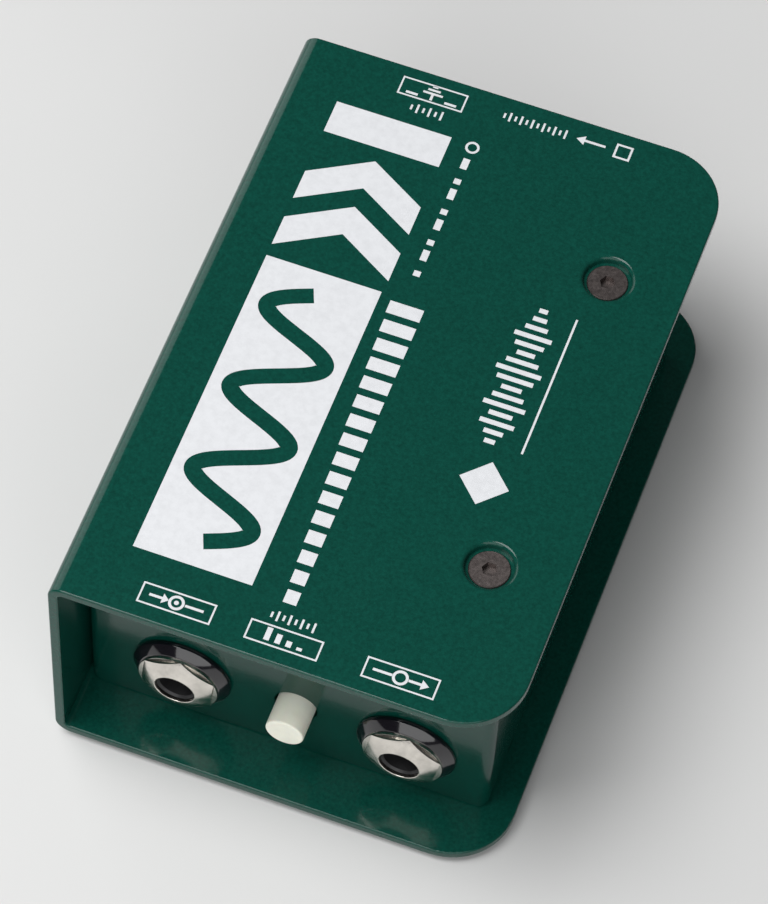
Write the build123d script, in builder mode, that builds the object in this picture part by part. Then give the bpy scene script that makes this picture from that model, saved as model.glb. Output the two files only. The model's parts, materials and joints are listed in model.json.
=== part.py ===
"""Passive direct injection box, modelled in millimetres.

A bent steel cover, C-shaped in section, wraps a folded chassis. The cover's plates overhang the chassis at
both ends and on the open side, so the sockets and buttons sit in a protected recess. The chassis carries a
circuit board with two quarter-inch jacks and a push switch at the input end, a three-pin male connector and
a second push switch at the output end, and a shielded audio transformer between them.

Frame: +Z up, +Y towards the output end, +X towards the cover's open side. The origin is on the surface that
the box stands on, under the middle of the cover.
"""

import math
import os

from build123d import *

# ---------------------------------------------------------------------------------------------------------
# Driving dimensions
# ---------------------------------------------------------------------------------------------------------

# Cover: one C-shaped bent sheet
cover_length = 127.0
cover_width = 84.0
cover_height = 50.8
cover_sheet = 1.9
cover_bend = 3.0  # outer radius of the two bends
cover_corner = 12.0  # free corners of both plates
paint_round = 0.35  # radius that the paint leaves on every sheared edge

# Non-slip pad stuck under the cover
pad_thickness = 1.6
pad_inset = 3.0
pad_hole = 7.0  # radius of the holes that leave the bottom screws reachable

# Chassis: one folded sheet
chassis_sheet = 1.5
chassis_bend = 2.0  # outer radius of its bends
end_recess = 11.1  # cover's end edge to the face of an end panel
side_recess = 5.0  # cover's open edge to the chassis side wall
chassis_gap = 0.5  # chassis lips to the inside of the cover's closed side
panel_gap = 0.3  # end panels to the cover's plates
lip_depth = 8.0  # lips folded inwards at the closed side
flange_width = 16.5
flange_relief = 2.5  # flange ends to the end panels

# Cover screws, countersunk M4 in pressed cups
screw_inset = 14.1  # cover's open edge to the row of screws
top_screw_pitch = 64.0
bottom_screw_pitch = 32.0
screw_sink = 1.2  # screw head below the plate's face
head_radius = 3.75
head_rim = 0.3
shank_radius = 1.97
shank_clearance = 0.28
head_break = 0.15  # chamfer round the head
screw_point = 0.4  # chamfer at the screw's end
socket_flats = 2.5
socket_depth = 1.4
top_screw_length = 10.0
bottom_screw_length = 8.0
cup_ring = 0.7  # gap round the sunk head
cup_lip = 0.75  # radius of the cup's rolled mouth
cup_margin = 0.9  # mouth to the edge of the pressed area
cup_land = 0.35  # straight wall under the cover's countersink
cup_flare = 0.6  # how much the cup's outside narrows
cup_clearance = 0.3  # between the cover's cup and the chassis cup
cup_gap = 0.1  # cover's cup to the floor of the chassis cup
chassis_cup_flare = 0.4
chassis_cup_step = 0.8
seat_clearance = 0.05
clinch_radius = 4.0
clinch_height = 3.0
clinch_bore = 2.0
clinch_chamfer = 0.3

# Circuit board
board_thickness = 1.6
board_front_gap = 1.0  # front panel's inner face to the board's edge
board_rear_gap = 5.4  # rear panel's inner face to the board's edge, clear of the connector's nuts
board_left_gap = 4.1  # cover's closed side to the board's edge
board_right_gap = 2.5  # chassis side wall to the board's edge
board_corner = 1.0
board_notch_gap = 0.3  # chassis cups to the board's notches
pin_radius = 0.45
pin_clearance = 0.15
pin_below_board = 1.1

# Jacks
jack_spacing = 42.6
jack_height = 16.2  # axis above the cover's underside
jack_above_board = 9.6
jack_body_width = 15.9
jack_body_above = 8.3
jack_body_depth = 27.5
jack_body_round = 0.8
jack_wall = 1.2
jack_front_wall = 3.5
nose_radius = 4.75
nose_proud = 3.8
nose_fit = 0.05
nose_edge = 0.3
panel_hole_clearance = 0.25
ring_clearance = 0.2
plug_bore = 3.25
plug_mouth = 0.4  # chamfer that leads the plug in
bush_flange_radius = 6.3
bush_flange_thickness = 1.2
bush_rear = 1.8  # bush behind the front wall
contact_sheet = 0.4
contact_half = 2.0
sleeve_contact_half = 5.9
sleeve_pin_pitch = 8.0
tip_height = 6.4  # tip contact's root below the axis
tip_root_start = 5.9  # from the panel's inner face
tip_root_length = 1.9
tip_split = 0.3  # flexing leaf to its fixed root
tip_leaf_rise = 1.8
tip_leaf_length = 10.0
tip_crest_rise = 2.6
tip_crest_run = 2.2
tip_leaf_bend = 0.8

bezel_radius = 9.3
bezel_edge = 0.9
bezel_front_radius = 7.7
bezel_thickness = 2.3
bezel_round = 0.2
washer_radius = 7.5
washer_thickness = 0.5
nut_flats = 13.2
nut_front = 4.5  # front rim above the panel
nut_rim_radius = 3.95
nut_slope = 0.43
nut_mouth = 3.75
nut_lip = 0.6
nut_turns = {"input": 25.5, "thru": 20.0}  # where each nut's first corner stopped, in degrees

# Push switches
switch_above_board = 10.4
pad_switch_x = 0.2
lift_switch_x = -15.4
cap_radius = 3.6
cap_proud = 6.1
cap_length = 10.5
cap_round = 0.4
cap_socket_depth = 5.0
button_hole = 4.1
button_travel = 3.5
plunger_side = 3.4
plunger_clearance = 0.3
cap_fit = 0.02
switch_width = 8.6
switch_above_axis = 5.2
switch_depth = 22.0
switch_gap = 0.6  # pressed cap to the housing
switch_wall = 1.1
switch_chamfer = 0.5
switch_base_height = 2.2
collar_side = 5.4
collar_length = 3.0
collar_gap = 0.3
stem_radius = 1.1
stem_length = 12.0
spring_radius = 1.9
spring_wire = 0.25
spring_turns = 9
switch_pin_pitch = 4.0
switch_pin_spread = 4.0  # between the two rows of pins
switch_pin_start = 6.5  # first pins behind the housing's front
switch_pin_head = 0.6
slider_gap = 0.3
slider_width = 5.0
slider_length = 4.8
slider_post = 1.2

# Three-pin male connector
xlr_x = 12.8
xlr_height = 19.5  # axis above the cover's underside
xlr_flange_width = 26.0
xlr_flange_height = 31.0
xlr_flange_corner = 3.5
xlr_flange_thickness = 2.2
xlr_barrel = 11.3
xlr_well = 9.6
xlr_well_depth = 15.5
xlr_depth = 20.5
xlr_mouth = 0.6
xlr_insert_length = 3.5
xlr_insert_fit = 0.03
xlr_pin_radius = 1.2
xlr_pin_circle = 4.05
xlr_pin_angles = (35.0, 145.0, 270.0)
xlr_pin_recess = 3.0
xlr_pin_round = 0.8
xlr_pin_root = 1.6  # thicker root, held in the insert
xlr_pin_root_proud = 0.3
xlr_tail_radius = 0.5
xlr_tail_reach = 2.4
xlr_tail_bend = 1.0
xlr_latch_half = 2.2
xlr_latch_depth = 1.0
xlr_latch_length = 7.0
xlr_screw_dx = 9.5
xlr_screw_dz = 12.0
xlr_screw_radius = 1.47
xlr_screw_head = 2.75
xlr_screw_head_height = 1.7
xlr_screw_head_round = 0.9
xlr_screw_length = 6.4
xlr_screw_slot = 1.0
xlr_screw_drive = 1.6  # radius of the cross recess
xlr_screw_drive_depth = 1.0
xlr_nut_flats = 5.5
xlr_nut_height = 2.4

# Transformer
transformer_x = -8.0
transformer_y = -1.0
can_width = 36.0
can_depth = 29.0
can_height = 28.0
can_wall = 0.6
can_corner = 3.0
can_round = 1.2  # its top edge
core_width = 30.0
core_height = 25.0
core_stack = 12.0
core_leg = 5.0  # side legs and yokes; the middle leg is twice this
core_lift = 1.0  # core above the board
bobbin_wall = 0.8
bobbin_fit = 0.2
winding_build = 3.3
winding_split = 0.55  # share of the build that is the primary
winding_round = 1.2
transformer_pin_pitch = 5.0
transformer_pin_row = 8.6  # rows either side of the middle
can_tab_row = 8.0

# Small board parts
resistor_radius = 1.2
resistor_length = 6.3
lead_radius = 0.3
lead_pitch = 9.0
resistor_x = 15.5
resistor_rows = (-14.0, -10.0, -6.0, -2.0, 2.0, 6.0)
capacitor_length = 7.2
capacitor_width = 3.0
capacitor_height = 7.5
capacitor_round = 0.3
capacitor_rows = (11.0, 16.0)
capacitor_pitch = 5.0

# ---------------------------------------------------------------------------------------------------------
# Positions that follow
# ---------------------------------------------------------------------------------------------------------

left_face = -cover_width / 2
right_edge = cover_width / 2
left_inner = left_face + cover_sheet
cover_bottom = pad_thickness
cover_top = cover_bottom + cover_height
inner_bottom = cover_bottom + cover_sheet
inner_top = cover_top - cover_sheet

front_face = -cover_length / 2 + end_recess
rear_face = -front_face
wall_outer = right_edge - side_recess
wall_inner = wall_outer - chassis_sheet
chassis_left = left_inner + chassis_gap
panel_bottom = inner_bottom + panel_gap
panel_top = inner_top - panel_gap

screw_x = right_edge - screw_inset
top_screws = [(screw_x, y, cover_top) for y in (-top_screw_pitch / 2, top_screw_pitch / 2)]
bottom_screws = [(screw_x, y, cover_bottom) for y in (-bottom_screw_pitch / 2, bottom_screw_pitch / 2)]
cup_throat = head_radius + cup_ring
cup_mouth = cup_throat + cup_lip
cup_edge = cup_mouth + cup_margin
seat_depth = screw_sink + head_rim
hole_radius = shank_radius + shank_clearance
cup_depth = seat_depth + head_radius - hole_radius + cup_land  # plate's face to the underside of the cup
chassis_cup_edge = cup_edge + chassis_cup_step
board_notch = chassis_cup_edge + board_notch_gap

jack_axis = cover_bottom + jack_height
board_top = jack_axis - jack_above_board
board_bottom = board_top - board_thickness
switch_axis = board_top + switch_above_board
xlr_axis = cover_bottom + xlr_height
jack_xs = {"input": -jack_spacing / 2, "thru": jack_spacing / 2}

board_left = left_inner + board_left_gap
board_right = wall_inner - board_right_gap
board_front = front_face + chassis_sheet + board_front_gap
board_rear = rear_face - chassis_sheet - board_rear_gap


def outward_plane(x, z, side):
    """The plane of an end panel's outer face at (x, z). Its normal points out of the box and its y is up."""
    return Plane(origin=(x, side * rear_face, z), x_dir=(-side, 0, 0), z_dir=(0, side, 0))


def side_plane(plane):
    """A plane through the same axis, with x inwards from the panel, y up and z across."""
    return Plane(origin=plane.origin, x_dir=-plane.z_dir, z_dir=plane.x_dir)


def write(piece, name):
    """Name a finished piece and write its STEP file."""
    piece.label = name
    export_step(piece, f"parts/{name}.step")


os.makedirs("parts", exist_ok=True)
board_holes = []  # (x, y, radius) of the hole that each pin needs in the board


def drill_for(positions, radius=pin_radius):
    """Remember the board holes that these pins need."""
    board_holes.extend((x, y, radius + pin_clearance) for x, y in positions)


def board_pins(positions, top):
    """Round pins from the given height down through the board."""
    drill_for(positions)
    bottom = board_bottom - pin_below_board
    with BuildPart() as pins:
        with BuildSketch(Plane.XY.offset(bottom)):
            with Locations(*positions):
                Circle(pin_radius)
        extrude(amount=top - bottom)
    return pins.part


# ---------------------------------------------------------------------------------------------------------
# Cover, pad and chassis
# ---------------------------------------------------------------------------------------------------------


def pressed_cup():
    """The cover's countersunk cup, mouth up, with the plate's face at z = 0."""
    seat_top = head_radius + seat_clearance
    seat_bottom = seat_depth + seat_top - hole_radius
    dip = cup_mouth - cup_throat
    with BuildPart() as cup:
        with BuildSketch(Plane.XZ):
            with BuildLine():
                rim = CenterArc((cup_mouth, -dip), dip, 90, 90)
                Polyline(
                    rim @ 1,
                    (cup_throat, -seat_depth),
                    (seat_top, -seat_depth),
                    (hole_radius, -seat_bottom),
                    (hole_radius, -cup_depth),
                    (cup_edge - cup_flare, -cup_depth),
                    (cup_edge, -cover_sheet),
                    (cup_edge, 0),
                    rim @ 0,
                )
            make_face()
        revolve(axis=Axis.Z)
    return cup.part


def chassis_cup():
    """The chassis flange's cup, with the flange's outer face at z = 0."""
    floor = cup_depth - cover_sheet + cup_gap
    inner_edge = cup_edge + cup_clearance
    with BuildPart() as cup:
        with BuildSketch(Plane.XZ):
            with BuildLine():
                Polyline(
                    (inner_edge, 0),
                    (inner_edge - chassis_cup_flare, -floor),
                    (clinch_bore, -floor),
                    (clinch_bore, -floor - chassis_sheet),
                    (chassis_cup_edge - chassis_cup_flare, -floor - chassis_sheet),
                    (chassis_cup_edge, -chassis_sheet),
                    (chassis_cup_edge, 0),
                    close=True,
                )
            make_face()
        revolve(axis=Axis.Z)
    return cup.part


def facing_out(positions, up):
    """Locations at the given points whose z points up or down, out of the plate that they lie on."""
    turn = (0, 0, 0) if up else (180, 0, 0)
    return Locations(*[Location(point, turn) for point in positions])


hanging = (Align.CENTER, Align.CENTER, Align.MAX)  # a cylinder below its own location
cover_cup = pressed_cup()
flange_cup = chassis_cup()

with BuildPart() as outer_cover:
    with BuildSketch(Plane.XZ):
        with BuildLine():
            outside = FilletPolyline(
                (right_edge, cover_bottom),
                (left_face, cover_bottom),
                (left_face, cover_top),
                (right_edge, cover_top),
                radius=cover_bend,
            )
            inside = FilletPolyline(
                (right_edge, inner_bottom),
                (left_inner, inner_bottom),
                (left_inner, inner_top),
                (right_edge, inner_top),
                radius=cover_bend - cover_sheet,
            )
            Line(outside @ 0, inside @ 0)
            Line(outside @ 1, inside @ 1)
        make_face()
    extrude(amount=cover_length / 2, both=True)
    fillet(edges().filter_by(Axis.Z).group_by(Axis.X)[-1], cover_corner)
    bend_lines = edges().filter_by(Axis.Y).filter_by(lambda edge: edge.center().X < 0)
    corner_lines = edges().filter_by(Axis.Z).filter_by(lambda edge: edge.length < 2 * cover_sheet)
    fillet(edges() - bend_lines - corner_lines, paint_round)
    for screws, up in ((top_screws, True), (bottom_screws, False)):
        with facing_out(screws, up):
            Cylinder(cup_edge, cover_sheet, align=hanging, mode=Mode.SUBTRACT)
            add(cover_cup)
write(outer_cover.part, "outer_cover")

with BuildPart() as non_slip_pad:
    with BuildSketch():
        RectangleRounded(cover_width - 2 * pad_inset, cover_length - 2 * pad_inset, cover_corner - pad_inset)
        with Locations(*bottom_screws):
            Circle(pad_hole, mode=Mode.SUBTRACT)
    extrude(amount=pad_thickness)
write(non_slip_pad.part, "non_slip_pad")

front_holes = [(x, jack_axis, nose_radius + panel_hole_clearance) for x in jack_xs.values()]
front_holes.append((pad_switch_x, switch_axis, button_hole))
xlr_screws_at = [(xlr_x + s * xlr_screw_dx, xlr_axis + s * xlr_screw_dz) for s in (-1, 1)]
rear_holes = [(lift_switch_x, switch_axis, button_hole)]
rear_holes.append((xlr_x, xlr_axis, xlr_barrel + panel_hole_clearance))
rear_holes += [(x, z, xlr_screw_radius + panel_hole_clearance) for x, z in xlr_screws_at]

with BuildPart() as chassis:
    with BuildSketch(Plane.XY.offset(panel_bottom)):
        with BuildLine():
            outside = FilletPolyline(
                (chassis_left, front_face + lip_depth),
                (chassis_left, front_face),
                (wall_outer, front_face),
                (wall_outer, rear_face),
                (chassis_left, rear_face),
                (chassis_left, rear_face - lip_depth),
                radius=chassis_bend,
            )
            inside = FilletPolyline(
                (chassis_left + chassis_sheet, front_face + lip_depth),
                (chassis_left + chassis_sheet, front_face + chassis_sheet),
                (wall_inner, front_face + chassis_sheet),
                (wall_inner, rear_face - chassis_sheet),
                (chassis_left + chassis_sheet, rear_face - chassis_sheet),
                (chassis_left + chassis_sheet, rear_face - lip_depth),
                radius=chassis_bend - chassis_sheet,
            )
            Line(outside @ 0, inside @ 0)
            Line(outside @ 1, inside @ 1)
        make_face()
    extrude(amount=panel_top - panel_bottom)
    # Seen from the end, the corners by the side wall are rounded like its bends.
    with BuildSketch(Plane.XZ):
        with Locations((wall_outer, panel_bottom), (wall_outer, panel_top)):
            Rectangle(2 * chassis_bend, 2 * chassis_bend)
        arc_x = wall_outer - chassis_bend
        with Locations((arc_x, panel_bottom + chassis_bend), (arc_x, panel_top - chassis_bend)):
            Circle(chassis_bend, mode=Mode.SUBTRACT)
    extrude(amount=cover_length / 2, both=True, mode=Mode.SUBTRACT)
    # The side wall with its two flanges, which lie against the cover's plates.
    with BuildSketch(Plane.XZ):
        with BuildLine():
            outside = FilletPolyline(
                (wall_outer - flange_width, inner_bottom),
                (wall_outer, inner_bottom),
                (wall_outer, inner_top),
                (wall_outer - flange_width, inner_top),
                radius=chassis_bend,
            )
            inside = FilletPolyline(
                (wall_outer - flange_width, inner_bottom + chassis_sheet),
                (wall_inner, inner_bottom + chassis_sheet),
                (wall_inner, inner_top - chassis_sheet),
                (wall_outer - flange_width, inner_top - chassis_sheet),
                radius=chassis_bend - chassis_sheet,
            )
            Line(outside @ 0, inside @ 0)
            Line(outside @ 1, inside @ 1)
        make_face()
    extrude(amount=rear_face - chassis_sheet - flange_relief, both=True)
    for side, holes in ((-1, front_holes), (1, rear_holes)):
        with BuildSketch(Plane.XZ.offset(-side * rear_face)):
            for x, z, radius in holes:
                with Locations((x, z)):
                    Circle(radius)
        extrude(amount=side * chassis_sheet, mode=Mode.SUBTRACT)
    for screws, up in ((top_screws, True), (bottom_screws, False)):
        offset_in = -cover_sheet if up else cover_sheet
        with facing_out([(x, y, z + offset_in) for x, y, z in screws], up):
            Cylinder(chassis_cup_edge, chassis_sheet, align=hanging, mode=Mode.SUBTRACT)
            add(flange_cup)
write(chassis.part, "chassis")


def countersunk_screw(head, rim, shank, length, flats, drive_depth):
    """A countersunk socket screw, head up, with the head's face at z = 0."""
    with BuildPart() as screw:
        with BuildSketch(Plane.XZ):
            with BuildLine():
                Polyline(
                    (0, 0),
                    (head - head_break, 0),
                    (head, -head_break),
                    (head, -rim),
                    (shank, -rim - head + shank),
                    (shank, -length + screw_point),
                    (shank - screw_point, -length),
                    (0, -length),
                    close=True,
                )
            make_face()
        revolve(axis=Axis.Z)
        with BuildSketch(Plane.XY):
            RegularPolygon(flats / 2, 6, major_radius=False)
        extrude(amount=-drive_depth, mode=Mode.SUBTRACT)
    return screw.part


for name, screws, up, length in (
    ("cover_screws_top", top_screws, True, top_screw_length),
    ("cover_screws_bottom", bottom_screws, False, bottom_screw_length),
):
    one_screw = countersunk_screw(head_radius, head_rim, shank_radius, length, socket_flats, socket_depth)
    sink = -screw_sink if up else screw_sink
    with BuildPart() as cover_screws:
        with facing_out([(x, y, z + sink) for x, y, z in screws], up):
            add(one_screw)
    write(cover_screws.part, name)

with BuildPart() as clinch_nuts:
    nut_depth = cup_depth + cup_gap + chassis_sheet
    for screws, up in ((top_screws, True), (bottom_screws, False)):
        step = -nut_depth if up else nut_depth
        with facing_out([(x, y, z + step) for x, y, z in screws], up):
            Cylinder(clinch_radius, clinch_height, align=hanging)
            Cylinder(clinch_bore, clinch_height, align=hanging, mode=Mode.SUBTRACT)
    circles = edges().filter_by(GeomType.CIRCLE)
    outer_rims = circles.filter_by(lambda edge: math.isclose(edge.radius, clinch_radius))
    chamfer(outer_rims, clinch_chamfer)
write(clinch_nuts.part, "clinch_nuts")


# ---------------------------------------------------------------------------------------------------------
# Jacks
# ---------------------------------------------------------------------------------------------------------

bush_end = chassis_sheet + jack_front_wall + bush_rear
hole_in_ring = nose_radius + ring_clearance
tip_pivot_u = chassis_sheet + tip_root_start + tip_root_length + tip_split / 2

for name, x in jack_xs.items():
    face = outward_plane(x, jack_axis, -1)
    inner = face.offset(-chassis_sheet)
    behind_wall = inner.offset(-jack_front_wall)
    section = side_plane(face)
    axis = Axis(face.origin, face.z_dir)

    with BuildPart() as jack_housing:
        with BuildSketch(inner):
            with Locations((0, (jack_body_above - jack_above_board) / 2)):
                RectangleRounded(jack_body_width, jack_body_above + jack_above_board, jack_body_round)
        extrude(amount=-jack_body_depth)
        with BuildSketch(behind_wall):
            with Locations((0, (jack_body_above - jack_wall - jack_above_board) / 2)):
                Rectangle(jack_body_width - 2 * jack_wall, jack_body_above - jack_wall + jack_above_board)
        extrude(amount=jack_front_wall + jack_wall - jack_body_depth, mode=Mode.SUBTRACT)
        with BuildSketch(inner):
            Circle(nose_radius + nose_fit)
        extrude(amount=-jack_front_wall, mode=Mode.SUBTRACT)
        with BuildSketch(inner):
            Circle(bush_flange_radius + nose_fit)
        extrude(amount=-bush_flange_thickness - nose_fit, mode=Mode.SUBTRACT)
    write(jack_housing.part, f"{name}_jack_housing")

    with BuildPart() as jack_bush:
        with BuildSketch(section):
            with BuildLine():
                Polyline(
                    (-nose_proud, plug_bore + plug_mouth),
                    (-nose_proud, nose_radius - nose_edge),
                    (-nose_proud + nose_edge, nose_radius),
                    (chassis_sheet, nose_radius),
                    (chassis_sheet, bush_flange_radius),
                    (chassis_sheet + bush_flange_thickness, bush_flange_radius),
                    (chassis_sheet + bush_flange_thickness, nose_radius),
                    (bush_end, nose_radius),
                    (bush_end, plug_bore),
                    (-nose_proud + plug_mouth, plug_bore),
                    close=True,
                )
            make_face()
        revolve(axis=axis)
    write(jack_bush.part, f"{name}_jack_bush")

    sleeve_y = front_face + chassis_sheet + jack_front_wall + contact_sheet / 2
    sleeve_pins = [(x + s * sleeve_pin_pitch / 2, sleeve_y) for s in (-1, 1)]
    pins = board_pins(sleeve_pins, board_top)
    with BuildPart() as jack_sleeve_terminal:
        with BuildSketch(behind_wall):
            with Locations((0, (sleeve_contact_half - jack_above_board) / 2)):
                Rectangle(2 * sleeve_contact_half, sleeve_contact_half + jack_above_board)
            Circle(nose_radius + nose_fit, mode=Mode.SUBTRACT)
        extrude(amount=-contact_sheet)
        add(pins)
    write(jack_sleeve_terminal.part, f"{name}_jack_sleeve_terminal")

    tip_start = chassis_sheet + tip_root_start
    tip_y = front_face + tip_start + contact_sheet / 2
    pins = board_pins([(x, tip_y)], board_top)
    with BuildPart() as jack_tip_terminal:
        with BuildSketch(inner.offset(-tip_root_start)):
            with Locations((0, -tip_height)):
                Rectangle(jack_body_width - 2 * jack_wall, contact_sheet)
        extrude(amount=-tip_root_length)
        with BuildSketch(inner.offset(-tip_root_start)):
            with Locations((0, -(tip_height + jack_above_board) / 2)):
                Rectangle(2 * contact_half, jack_above_board - tip_height)
        extrude(amount=-contact_sheet)
        add(pins)
    write(jack_tip_terminal.part, f"{name}_jack_tip_terminal")

    leaf_start = tip_start + tip_root_length + tip_split
    leaf_bend = leaf_start + tip_leaf_length
    with BuildPart() as jack_tip_leaf:
        with BuildSketch(section):
            with BuildLine():
                FilletPolyline(
                    (leaf_start, -tip_height),
                    (leaf_bend, -tip_height + tip_leaf_rise),
                    (leaf_bend + tip_crest_run, -tip_height + tip_leaf_rise + tip_crest_rise),
                    (leaf_bend + 2 * tip_crest_run, -tip_height + tip_leaf_rise),
                    radius=tip_leaf_bend,
                )
            trace(line_width=contact_sheet)
        extrude(amount=contact_half, both=True)
    write(jack_tip_leaf.part, f"{name}_jack_tip_leaf")

    with BuildPart() as jack_bezel:
        with BuildSketch(section):
            with BuildLine():
                Polyline(
                    (0, hole_in_ring),
                    (0, bezel_radius),
                    (-bezel_edge, bezel_radius),
                    (-bezel_thickness, bezel_front_radius),
                    (-bezel_thickness, hole_in_ring),
                    close=True,
                )
            make_face()
        revolve(axis=axis)
        rims = edges().filter_by(GeomType.CIRCLE).filter_by(lambda edge: edge.radius > washer_radius)
        fillet(rims.group_by(Axis.Y)[0] + rims.group_by(Axis.Y)[1], bezel_round)
    write(jack_bezel.part, f"{name}_jack_bezel")

    with BuildPart() as jack_washer:
        with BuildSketch(face.offset(bezel_thickness)):
            Circle(washer_radius)
            Circle(hole_in_ring, mode=Mode.SUBTRACT)
        extrude(amount=washer_thickness)
    write(jack_washer.part, f"{name}_jack_washer")

    nut_back = bezel_thickness + washer_thickness
    with BuildPart() as jack_nut:
        with BuildSketch(face.offset(nut_back)):
            RegularPolygon(nut_flats / 2, 6, major_radius=False, rotation=nut_turns[name])
        extrude(amount=nut_front - nut_back)
        with BuildSketch(section):
            with BuildLine():
                Polyline(
                    (-nut_back, nose_radius + nose_fit),
                    (-nut_back, nut_flats),
                    (-nut_front + nut_slope * (nut_flats - nut_rim_radius), nut_flats),
                    (-nut_front, nut_rim_radius),
                    (-nut_front, nut_mouth),
                    (-nut_front + nut_lip, nut_mouth),
                    (-nut_front + nut_lip, nose_radius + nose_fit),
                    close=True,
                )
            make_face()
        revolve(axis=axis, mode=Mode.INTERSECT)
    write(jack_nut.part, f"{name}_jack_nut")

# ---------------------------------------------------------------------------------------------------------
# Push switches
# ---------------------------------------------------------------------------------------------------------

cap_rear = cap_proud - cap_length
switch_front = cap_rear - button_travel - switch_gap
switch_rear = switch_front - switch_depth
collar_front = switch_front - switch_wall - collar_gap
collar_rear = collar_front - collar_length
base_top = board_top + switch_base_height
switch_below_axis = switch_above_board - switch_base_height
slider_bottom = base_top + switch_pin_head + slider_gap

for name, x, side in (("pad", pad_switch_x, -1), ("lift", lift_switch_x, 1)):
    face = outward_plane(x, switch_axis, side)

    with BuildPart() as button:
        with BuildSketch(face.offset(cap_rear)):
            Circle(cap_radius)
        extrude(amount=cap_length)
        fillet(edges().filter_by(GeomType.CIRCLE).sort_by(SortBy.DISTANCE)[-1], cap_round)
        with BuildSketch(face.offset(cap_rear)):
            Rectangle(plunger_side + 2 * cap_fit, plunger_side + 2 * cap_fit)
        extrude(amount=cap_socket_depth, mode=Mode.SUBTRACT)
    write(button.part, f"{name}_button")

    with BuildPart() as switch_plunger:
        with BuildSketch(face.offset(collar_rear)):
            Rectangle(plunger_side, plunger_side)
        extrude(amount=cap_rear + cap_socket_depth - collar_rear)
        with BuildSketch(face.offset(collar_rear)):
            Rectangle(collar_side, collar_side)
        extrude(amount=collar_length)
        with BuildSketch(face.offset(collar_rear)):
            Circle(stem_radius)
        extrude(amount=-stem_length)
    write(switch_plunger.part, f"{name}_switch_plunger")

    slider_top = switch_axis - collar_side / 2
    slider_y = side * (rear_face + collar_front - slider_length / 2)
    with BuildPart() as switch_slider:
        with BuildSketch(Plane.XY.offset(slider_bottom)):
            with Locations((x, slider_y)):
                Rectangle(slider_width, slider_length)
        extrude(amount=contact_sheet)
        with BuildSketch(Plane.XY.offset(slider_bottom)):
            with Locations((x, slider_y)):
                Rectangle(slider_post, slider_post)
        extrude(amount=slider_top - slider_bottom)
    write(switch_slider.part, f"{name}_switch_slider")

    spring_length = collar_rear - (switch_rear + switch_wall) - 2 * spring_wire
    with BuildPart() as switch_spring:
        spring_start = face.offset(collar_rear - spring_wire)
        with BuildLine():
            coil = Helix(
                pitch=spring_length / spring_turns,
                height=spring_length,
                radius=spring_radius,
                center=spring_start.origin,
                direction=-face.z_dir,
            )
        with BuildSketch(Plane(origin=coil @ 0, z_dir=coil % 0)):
            Circle(spring_wire)
        sweep(is_frenet=True)
    write(switch_spring.part, f"{name}_switch_spring")

    with BuildPart() as switch_housing:
        with BuildSketch(face.offset(switch_rear)):
            with Locations((0, (switch_above_axis - switch_below_axis) / 2)):
                Rectangle(switch_width, switch_above_axis + switch_below_axis)
        extrude(amount=switch_depth)
        chamfer(edges().filter_by(Axis.Y).group_by(Axis.Z)[-1], switch_chamfer)
        with BuildSketch(face.offset(switch_rear + switch_wall)):
            with Locations((0, (switch_above_axis - switch_wall - switch_below_axis) / 2)):
                inner_width = switch_width - 2 * switch_wall
                Rectangle(inner_width, switch_above_axis - switch_wall + switch_below_axis)
        extrude(amount=switch_depth - 2 * switch_wall, mode=Mode.SUBTRACT)
        with BuildSketch(face.offset(switch_front)):
            Rectangle(plunger_side + 2 * plunger_clearance, plunger_side + 2 * plunger_clearance)
        extrude(amount=-switch_wall, mode=Mode.SUBTRACT)
    write(switch_housing.part, f"{name}_switch_housing")

    with BuildPart() as switch_base:
        with BuildSketch(Plane.XY.offset(board_top)):
            with Locations((x, side * (rear_face + (switch_front + switch_rear) / 2))):
                Rectangle(switch_width, switch_depth)
                first_pin = switch_depth / 2 - switch_pin_start - switch_pin_pitch
            with Locations((x, side * (rear_face + (switch_front + switch_rear) / 2 + first_pin))):
                with GridLocations(switch_pin_spread, switch_pin_pitch, 2, 3):
                    Circle(pin_radius, mode=Mode.SUBTRACT)
        extrude(amount=switch_base_height)
    write(switch_base.part, f"{name}_switch_base")

    pin_middle = side * (rear_face + switch_front - switch_pin_start - switch_pin_pitch)
    switch_pins_at = [
        (x + column * switch_pin_spread / 2, pin_middle + row * switch_pin_pitch)
        for column in (-1, 1)
        for row in (-1, 0, 1)
    ]
    switch_pins = board_pins(switch_pins_at, base_top + switch_pin_head)
    write(switch_pins, f"{name}_switch_pins")

# ---------------------------------------------------------------------------------------------------------
# Three-pin male connector
# ---------------------------------------------------------------------------------------------------------

xlr_face = outward_plane(xlr_x, xlr_axis, 1)
xlr_inner = xlr_face.offset(-chassis_sheet)
xlr_line = Axis(xlr_face.origin, xlr_face.z_dir)
xlr_section = side_plane(xlr_face)
xlr_screws_local = [(-s * xlr_screw_dx, s * xlr_screw_dz) for s in (-1, 1)]
insert_rear = xlr_well_depth + xlr_insert_length

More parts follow.
